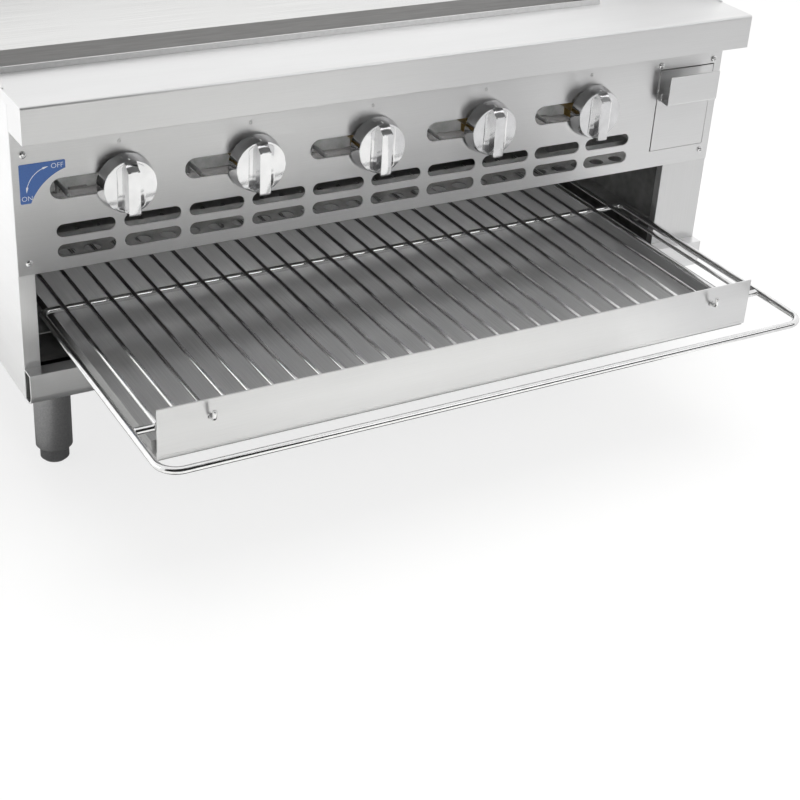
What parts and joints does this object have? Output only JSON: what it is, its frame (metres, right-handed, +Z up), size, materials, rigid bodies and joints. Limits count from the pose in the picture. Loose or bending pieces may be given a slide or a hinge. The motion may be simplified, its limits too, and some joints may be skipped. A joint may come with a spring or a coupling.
{
  "type": "griddle broiler",
  "caption": "Gas griddle on legs with splash guards, a front ledge over dials and vents, a grease drawer, and a broiler opening with a pull-out wire rack and drip tray.",
  "frame": {"origin": "on the floor, below the middle of the whole part with its rack pulled out", "axes": "+X along the front to the viewer's right, +Y from the front to the back, +Z up"},
  "size_m": [0.915, 0.993, 0.564],
  "materials": {
    "stainless_sheet": "brushed",
    "coated_sheet": "dull",
    "griddle_steel": "ground",
    "black_pipe": "satin",
    "valve_brass": "satin",
    "chrome_plate": "polished",
    "burner_steel": "dull",
    "pilot_tube": "satin",
    "leg_steel": "satin",
    "foot_steel": "satin",
    "printed_label": "printed"
  },
  "bodies": {
    "body": {"left_side_panel": "stainless_sheet", "right_side_panel": "stainless_sheet", "back_panel": "stainless_sheet", "base_pan": "coated_sheet", "front_base_rail": "stainless_sheet", "left_front_post": "stainless_sheet", "right_front_post": "stainless_sheet", "control_panel": "stainless_sheet", "front_ledge": "stainless_sheet", "griddle_plate": "griddle_steel", "left_splash": "stainless_sheet", "right_splash": "stainless_sheet", "back_splash": "stainless_sheet", "grease_trough": "stainless_sheet", "grease_chute": "stainless_sheet", "drawer_runners": "coated_sheet", "gas_inlet": "black_pipe", "gas_manifold": "black_pipe", "valve_1": "valve_brass", "burner_1": "burner_steel", "valve_2": "valve_brass", "burner_2": "burner_steel", "valve_3": "valve_brass", "burner_3": "burner_steel", "valve_4": "valve_brass", "burner_4": "burner_steel", "valve_5": "valve_brass", "burner_5": "burner_steel", "pilot_lights": "pilot_tube", "front_burner_rail": "coated_sheet", "rear_burner_rail": "coated_sheet", "perforated_baffle": "coated_sheet", "left_liner": "coated_sheet", "right_liner": "coated_sheet", "rear_liner": "coated_sheet", "left_runner": "coated_sheet", "right_runner": "coated_sheet", "leg_tubes": "leg_steel", "panel_screws": "chrome_plate", "dial_label": "printed_label"},
    "dial_1": {"knob_1": "chrome_plate", "valve_stem_1": "valve_brass"},
    "dial_2": {"knob_2": "chrome_plate", "valve_stem_2": "valve_brass"},
    "dial_3": {"knob_3": "chrome_plate", "valve_stem_3": "valve_brass"},
    "dial_4": {"knob_4": "chrome_plate", "valve_stem_4": "valve_brass"},
    "dial_5": {"knob_5": "chrome_plate", "valve_stem_5": "valve_brass"},
    "drawer": {"grease_drawer": "stainless_sheet", "drawer_front": "stainless_sheet", "drawer_handle": "stainless_sheet"},
    "rack": {"broiler_rack": "chrome_plate", "rack_front_plate": "stainless_sheet"},
    "tray": {"drip_tray": "stainless_sheet"},
    "screw_foot_1": {"foot_1": "foot_steel"},
    "screw_foot_2": {"foot_2": "foot_steel"},
    "screw_foot_3": {"foot_3": "foot_steel"},
    "screw_foot_4": {"foot_4": "foot_steel"}
  },
  "joints": [
    {"name": "dial_turn_1", "type": "hinge", "parent": "body", "child": "dial_1", "pos_m": [-0.3375, -0.1835, 0.345], "axis": [0, -1, 0], "range_deg": [0, 90]},
    {"name": "dial_turn_2", "type": "hinge", "parent": "body", "child": "dial_2", "pos_m": [-0.1875, -0.1835, 0.345], "axis": [0, -1, 0], "range_deg": [0, 90]},
    {"name": "dial_turn_3", "type": "hinge", "parent": "body", "child": "dial_3", "pos_m": [-0.0375, -0.1835, 0.345], "axis": [0, -1, 0], "range_deg": [0, 90]},
    {"name": "dial_turn_4", "type": "hinge", "parent": "body", "child": "dial_4", "pos_m": [0.1125, -0.1835, 0.345], "axis": [0, -1, 0], "range_deg": [0, 90]},
    {"name": "dial_turn_5", "type": "hinge", "parent": "body", "child": "dial_5", "pos_m": [0.2625, -0.1835, 0.345], "axis": [0, -1, 0], "range_deg": [0, 90]},
    {"name": "drawer_slide", "type": "slide", "parent": "body", "child": "drawer", "axis": [0, -1, 0], "range_m": [0, 0.17]},
    {"name": "rack_slide", "type": "slide", "parent": "body", "child": "rack", "axis": [0, -1, 0], "range_m": [-0.229, 0.04]},
    {"name": "tray_slide", "type": "slide", "parent": "body", "child": "tray", "axis": [0, -1, 0], "range_m": [-0.229, 0.04]},
    {"name": "foot_screw_1", "type": "slide", "parent": "body", "child": "screw_foot_1", "axis": [0, 0, -1], "range_m": [0, 0.02]},
    {"name": "foot_screw_2", "type": "slide", "parent": "body", "child": "screw_foot_2", "axis": [0, 0, -1], "range_m": [0, 0.02]},
    {"name": "foot_screw_3", "type": "slide", "parent": "body", "child": "screw_foot_3", "axis": [0, 0, -1], "range_m": [0, 0.02]},
    {"name": "foot_screw_4", "type": "slide", "parent": "body", "child": "screw_foot_4", "axis": [0, 0, -1], "range_m": [0, 0.02]}
  ],
  "couplings": [
    {"joint": "tray_slide", "follows": "rack_slide", "ratio": 1}
  ]
}
